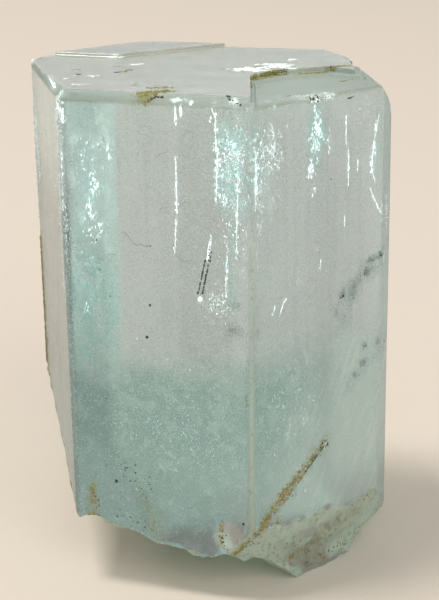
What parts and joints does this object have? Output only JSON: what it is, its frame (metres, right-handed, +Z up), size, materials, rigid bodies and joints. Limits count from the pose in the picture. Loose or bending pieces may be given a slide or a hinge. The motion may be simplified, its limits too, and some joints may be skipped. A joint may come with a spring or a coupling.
{
  "type": "aquamarine crystal",
  "caption": "Stout six-sided aquamarine crystal: a see-through prism with a flat, stepped top and a broken base that it stands on.",
  "frame": {"origin": "middle of the bounding box, on the flat patch of the broken base", "axes": "+Z up along the prism, +X to the right and +Y to the back when the near prism edge faces -Y"},
  "size_m": [0.0318, 0.0296, 0.0435],
  "materials": {
    "aquamarine": "clear pale blue-green crystal, glossy faces with a fine frost, rust stains in cracks and on growth steps"
  },
  "bodies": {
    "root": {"aquamarine_crystal": "aquamarine"}
  },
  "joints": []
}
